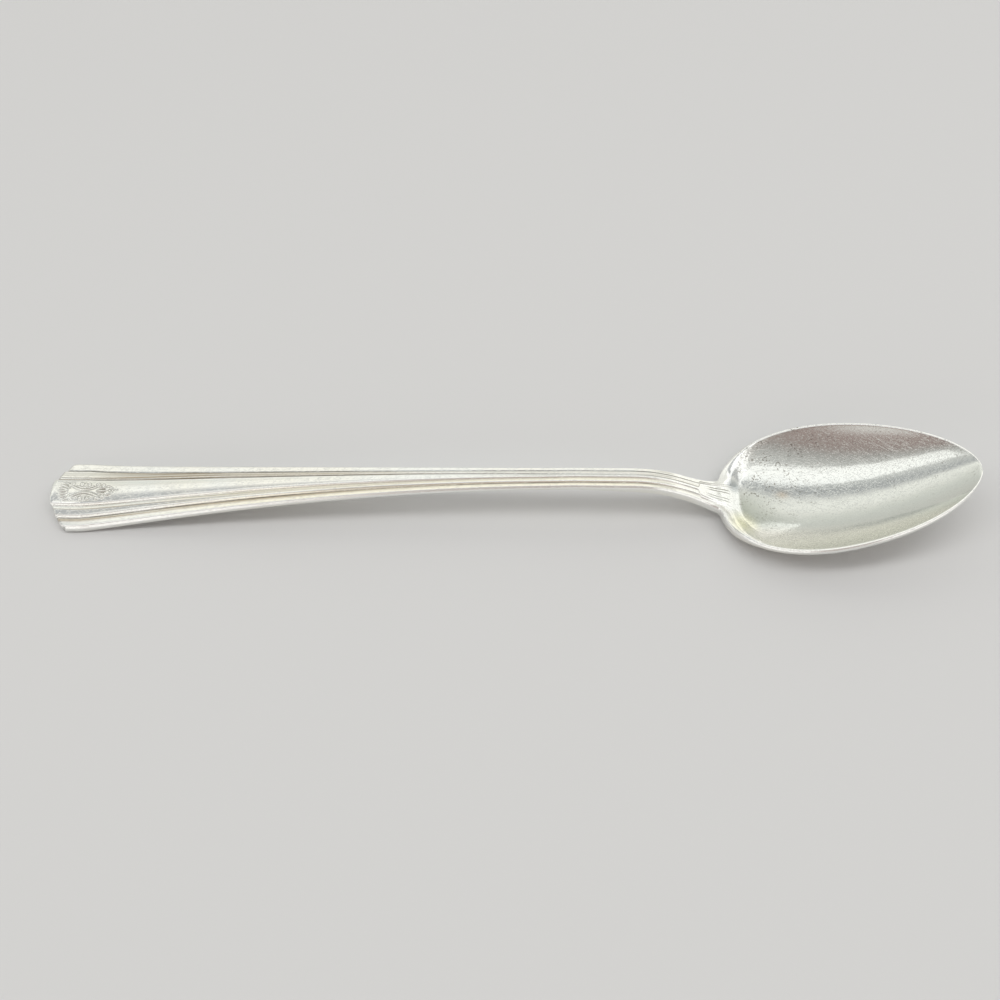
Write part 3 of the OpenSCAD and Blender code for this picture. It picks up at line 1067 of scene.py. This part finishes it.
# Scratches: direction in degrees, scale, and the noise values between which a line fades in
SCRATCH_STRETCH = 40
SCRATCHES = (
    (9, 8200, 0.68, 0.76),
    (52, 7400, 0.7, 0.78),
    (-33, 7900, 0.7, 0.78),
    (98, 7000, 0.7, 0.78),
)
SCUFFS = (5, 3800, 0.5, 0.62)

# Roughness, and relief too fine for the mesh
SILVER_ROUGHNESS = (0.05, 0.14)
WALL_ROUGHNESS = 0.14
TARNISH_ROUGHNESS = 0.25
SCRATCH_ROUGHNESS = 0.1
PEEL_HEIGHT = 2.5
BUMP_STRENGTH = 0.3
BUMP_DISTANCE = 0.03 * MM

# Bare base metal
NICKEL_DARK = (0.62, 0.55, 0.42, 1)
NICKEL_PALE = (0.7, 0.64, 0.52, 1)
NICKEL_NOISE = (1800, 3)
NICKEL_ROUGHNESS = (0.3, 0.45)
SCUFF_ROUGHNESS = 0.12


def new_material(name):
    material = bpy.data.materials.new(name)
    material.use_nodes = True
    return material, Graph(material.node_tree)


def scratches(graph, place, turn, scale, low, high):
    """Thin lines that run along one direction, broken into strokes."""
    stretched = graph.mapped(place, (SCRATCH_STRETCH, 1, 1), turn)
    return graph.part(graph.noise(stretched, scale, 0), low, high)


def add_metal(graph, colour, rough, height):
    """Ends a material in bare metal with fine relief."""
    relief = {"Height": height, "Strength": BUMP_STRENGTH, "Distance": BUMP_DISTANCE}
    bump = graph.add("ShaderNodeBump", relief)
    shader = graph.add("ShaderNodeBsdfPrincipled", {
        "Base Color": colour,
        "Metallic": 1.0,
        "Roughness": rough,
        "Normal": bump.outputs["Normal"],
    })
    graph.add("ShaderNodeOutputMaterial", {"Surface": shader.outputs["BSDF"]})


def silver_material():
    """Old silver plate: pale, tarnished olive in the grooves, streaks, pits and fine scratches, with
    painted shade in the far side's grooves and in the bowl and a painted highlight on the beads, edges and
    rim.
    """
    material, graph = new_material("worn_silver")
    place = graph.add("ShaderNodeTexCoord", {}).outputs["Object"]
    along = graph.add("ShaderNodeSeparateXYZ", {0: place}).outputs["X"]
    lane = {"X": graph.math("DIVIDE", along, LINE_STRETCH), "Y": graph.mark("lane")}
    lines = graph.noise(graph.add("ShaderNodeCombineXYZ", lane).outputs["Vector"], *LINE_NOISE)
    drift = graph.noise(place, *DRIFT_NOISE)
    patch = graph.noise(place, *PATCH_NOISE)
    grain = graph.noise(place, *GRAIN_NOISE)

    colour = graph.blend(graph.part(drift, *CREAM_FADE), COLD_SILVER, CREAM_SILVER)
    for mark, tone in TONES:
        colour = graph.blend(graph.mark(mark), colour, tone)
    streaks = graph.math("MULTIPLY", graph.mark("streaks"), graph.part(lines, *STREAK_FADE))
    colour = graph.blend(streaks, colour, STREAK_BROWN)
    film = graph.math("MULTIPLY", graph.mark("film"), graph.part(lines, *FILM_FADE))
    colour = graph.blend(film, colour, FILM_TAN)
    colour = graph.blend(graph.mark("stain"), colour, STAIN_BROWN)
    # Tarnish darkens towards olive, and so does the painted shade in the far side's grooves
    by_drift = graph.span(graph.part(drift, *TARNISH_DRIFT_FADE), *TARNISH_BY_DRIFT)
    tarnish_and_shade = graph.math("MULTIPLY", graph.mark("tarnish_and_shade"), by_drift)
    tarnish_and_shade = graph.math("MULTIPLY", tarnish_and_shade, graph.span(patch, *TARNISH_BY_PATCH))
    colour = graph.blend(graph.part(tarnish_and_shade, *TARNISH_FADE), colour, TARNISH_AND_SHADE_OLIVE)
    pits = graph.math("MULTIPLY", graph.mark("pits"), graph.part(grain, *PIT_FADE))
    pits = graph.math("MULTIPLY", pits, graph.part(patch, *PIT_PATCH_FADE))
    colour = graph.blend(graph.math("MULTIPLY", pits, PIT_DARKNESS), colour, PIT_BROWN)

    fine = scratches(graph, place, *SCRATCHES[0])
    for layer in SCRATCHES[1:]:
        fine = graph.math("MAXIMUM", fine, scratches(graph, place, *layer))
    rough = graph.span(patch, *SILVER_ROUGHNESS)
    rough = graph.plus(rough, graph.mark("wall"), WALL_ROUGHNESS)
    rough = graph.plus(rough, tarnish_and_shade, TARNISH_ROUGHNESS)
    rough = graph.plus(rough, fine, SCRATCH_ROUGHNESS)
    peel = graph.math("MULTIPLY", graph.mark("pits"), graph.math("MULTIPLY", grain, PEEL_HEIGHT))
    height = graph.math("SUBTRACT", peel, graph.math("ADD", fine, pits))
    add_metal(graph, colour, rough, height)
    return material


def nickel_silver_material():
    """Bare base metal, rubbed flat where the spoon rests, with scuffs from the table."""
    material, graph = new_material("rubbed_nickel_silver")
    place = graph.add("ShaderNodeTexCoord", {}).outputs["Object"]
    grain = graph.noise(place, *NICKEL_NOISE)
    scuffs = scratches(graph, place, *SCUFFS)
    colour = graph.blend(grain, NICKEL_DARK, NICKEL_PALE)
    rough = graph.plus(graph.span(grain, *NICKEL_ROUGHNESS), scuffs, SCUFF_ROUGHNESS)
    add_metal(graph, colour, rough, scuffs)
    return material


# Studio

FLOOR_SIZE = 6.0
FLOOR_DROP = 0.02 * MM
FLOOR_COLOUR = (0.64, 0.64, 0.635, 1)
FLOOR_ROUGHNESS = 0.9
FLOOR_GLOSS = 0.1

# Light round the spoon, in degrees from the far horizon over the top to the near horizon
SKY_STRENGTH = 1.14
SKY = (
    (0, (0.58, 0.57, 0.54)),
    (15, (0.59, 0.59, 0.56)),
    (30, (0.62, 0.63, 0.60)),
    (40, (0.70, 0.71, 0.67)),
    (46, (0.80, 0.80, 0.76)),
    (51, (0.90, 0.90, 0.86)),
    (58, (0.93, 0.93, 0.89)),
    (62, (0.66, 0.66, 0.65)),
    (66, (0.44, 0.45, 0.46)),
    (72, (0.42, 0.43, 0.44)),
    (80, (0.52, 0.53, 0.53)),
    (90, (0.56, 0.56, 0.55)),
    (100, (0.56, 0.56, 0.55)),
    (112, (0.48, 0.48, 0.47)),
    (120, (0.39, 0.38, 0.37)),
    (130, (0.33, 0.27, 0.255)),
    (142, (0.35, 0.275, 0.26)),
    (152, (0.92, 0.91, 0.89)),
    (180, (0.98, 0.97, 0.95)),
)

# The light from the near horizon is dim in the middle, where the camera stands
DIM_HORIZON = (0.41, 0.37, 0.35)
DIM_HORIZON_ANGLES = (146, 153)
DIM_HORIZON_EDGES = ((-0.24, -0.06), (0.24, 0.42))

# The sky dims beyond the bowl, between two distances along SKY_DIM_SIDE
SKY_DIM_SIDE = (1, 0.4, 0)
SKY_DIM_FROM = 0.5
SKY_DIM_TO = 0.7
SKY_DIM = 0.8

# Two strips of light overhead, one on the other, that run nearly along the spoon: name, breadth and level
STRIP_ANGLE = 92
STRIP_TURN = 11.3
STRIP_DISTANCE = 1.0
STRIP_LENGTH = 1.9
STRIP_SHIFT = -0.25
STRIPS = (
    ("wide_strip", 0.42, 0.6),
    ("core_strip", 0.2, 3.4),
)

# Softboxes beyond the bowl, a low one on the far side and a high one: name, place, size and level
SOFTBOXES = (
    ("side_softbox", Vector((0.715, 0.862, 0.32)), (0.98, 0.64), 0.52),
    ("neck_softbox", Vector((0.70, 0.04, 0.71)), (0.8, 0.4), 0.66),
)


def make_floor():
    mesh = bpy.data.meshes.new("floor")
    half = FLOOR_SIZE / 2
    corners = [(-half, -half, 0), (half, -half, 0), (half, half, 0), (-half, half, 0)]
    mesh.from_pydata(corners, [], [(0, 1, 2, 3)])
    material, graph = new_material("floor_paper")
    shader = graph.add("ShaderNodeBsdfPrincipled", {
        "Base Color": FLOOR_COLOUR,
        "Roughness": FLOOR_ROUGHNESS,
        "Specular IOR Level": FLOOR_GLOSS,
    })
    graph.add("ShaderNodeOutputMaterial", {"Surface": shader.outputs["BSDF"]})
    mesh.materials.append(material)
    floor = bpy.data.objects.new("floor", mesh)
    floor.location.z = -FLOOR_DROP
    bpy.context.scene.collection.objects.link(floor)


def make_sky():
    world = bpy.data.worlds.new("studio")
    world.use_nodes = True
    graph = Graph(world.node_tree)
    direction = graph.add("ShaderNodeTexCoord", {}).outputs["Generated"]
    axes = graph.add("ShaderNodeSeparateXYZ", {0: direction}).outputs
    angle = graph.math("ARCTAN2", axes["Z"], axes["Y"])
    share = graph.add("ShaderNodeMapRange", {"Value": angle, "From Max": math.pi}).outputs["Result"]
    ramp = graph.add("ShaderNodeValToRGB", {"Fac": share})
    stops = ramp.color_ramp.elements
    stops.remove(stops[1])
    for k, (degrees, colour) in enumerate(SKY):
        stop = stops[0] if k == 0 else stops.new(degrees / 180)
        stop.position = degrees / 180
        stop.color = (*colour, 1)
    towards = graph.add("ShaderNodeVectorMath", {0: direction, 1: SKY_DIM_SIDE}, operation="DOT_PRODUCT")
    beyond_bowl = {
        "Value": towards.outputs["Value"],
        "From Min": SKY_DIM_FROM,
        "From Max": SKY_DIM_TO,
        "To Min": SKY_STRENGTH,
        "To Max": SKY_STRENGTH * SKY_DIM,
    }
    strength = graph.add("ShaderNodeMapRange", beyond_bowl).outputs["Result"]
    start, end = DIM_HORIZON_EDGES
    middle = graph.math("SUBTRACT", graph.part(axes["X"], *start), graph.part(axes["X"], *end))
    low = graph.part(share, *[degrees / 180 for degrees in DIM_HORIZON_ANGLES])
    dim = graph.math("MULTIPLY", middle, low)
    colour = graph.blend(dim, ramp.outputs["Color"], (*DIM_HORIZON, 1))
    light = graph.add("ShaderNodeBackground", {"Color": colour, "Strength": strength})
    graph.add("ShaderNodeOutputWorld", {"Surface": light.outputs["Background"]})
    bpy.context.scene.world = world


def add_lamp(name, place, facing, size, level):
    """A soft area lamp whose face has one brightness, its level."""
    lamp = bpy.data.lights.new(name, "AREA")
    lamp.shape = "RECTANGLE"
    lamp.size, lamp.size_y = size
    lamp.energy = level * math.pi * size[0] * size[1]
    holder = bpy.data.objects.new(name, lamp)
    holder.matrix_world = Matrix.Translation(place) @ facing.to_4x4()
    bpy.context.scene.collection.objects.link(holder)


def make_lamps():
    angle = math.radians(STRIP_ANGLE)
    tilt = Matrix.Rotation(angle - math.pi / 2, 3, "X")
    facing = Matrix.Rotation(math.radians(STRIP_TURN), 3, "Z") @ tilt
    overhead = STRIP_DISTANCE * Vector((0, math.cos(angle), math.sin(angle)))
    strip_place = overhead + facing @ Vector((STRIP_SHIFT, 0, 0))
    for name, breadth, level in STRIPS:
        add_lamp(name, strip_place, facing, (STRIP_LENGTH, breadth), level)
    for name, place, size, level in SOFTBOXES:
        towards_spoon = (-place).to_track_quat("-Z", "Y").to_matrix()
        add_lamp(name, place, towards_spoon, size, level)


# Camera: above the spoon's near side, as in the photo

CAMERA_HEIGHT_ANGLE = 57.0
CAMERA_TURN = -0.64
CAMERA_TARGET = Vector((-1.6, 0.95, 0)) * MM
CAMERA_DISTANCE = 293.6 * MM
CAMERA_LENS = 50.4
CAMERA_SENSOR = 36
CAMERA_CLIP = 10 * MM


def make_camera():
    camera = bpy.data.cameras.new("photo_camera")
    camera.lens = CAMERA_LENS
    camera.sensor_width = CAMERA_SENSOR
    camera.clip_start = CAMERA_CLIP
    rise = math.radians(CAMERA_HEIGHT_ANGLE)
    turn = math.radians(CAMERA_TURN)
    forward = Vector((math.sin(turn) * math.cos(rise), math.cos(turn) * math.cos(rise), -math.sin(rise)))
    holder = bpy.data.objects.new("photo_camera", camera)
    holder.location = CAMERA_TARGET - forward * CAMERA_DISTANCE
    holder.rotation_euler = (math.pi / 2 - rise, 0, -turn)
    bpy.context.scene.collection.objects.link(holder)
    bpy.context.scene.camera = holder


def build_coat():
    """The silver: an outer and an inner sheet, open at the worn patches and closed round them."""
    following = np.roll(worn, -1, 1)
    keep = ~(worn[:-1] & worn[1:] & following[:-1] & following[1:])
    lining = row_count * ring_count
    outside = skin(keep)
    inside = [[k + lining for k in face[::-1]] for face in outside]
    faces = outside + inside + patch_walls(keep, lining)
    points = np.concatenate([outer, inner])
    add_piece("silver_coat", points, faces, silver_material(), "silver_plate", surface_marks())


def build_blank():
    """The base metal, which shows where the silver is worn through."""
    faces = skin(np.ones((row_count - 1, ring_count), bool))
    material = nickel_silver_material()
    add_piece("struck_blank", inner, faces, material, "base_metal_blank", {})


bpy.context.scene.view_settings.view_transform = "Standard"
build_coat()
build_blank()
make_floor()
make_sky()
make_lamps()
make_camera()
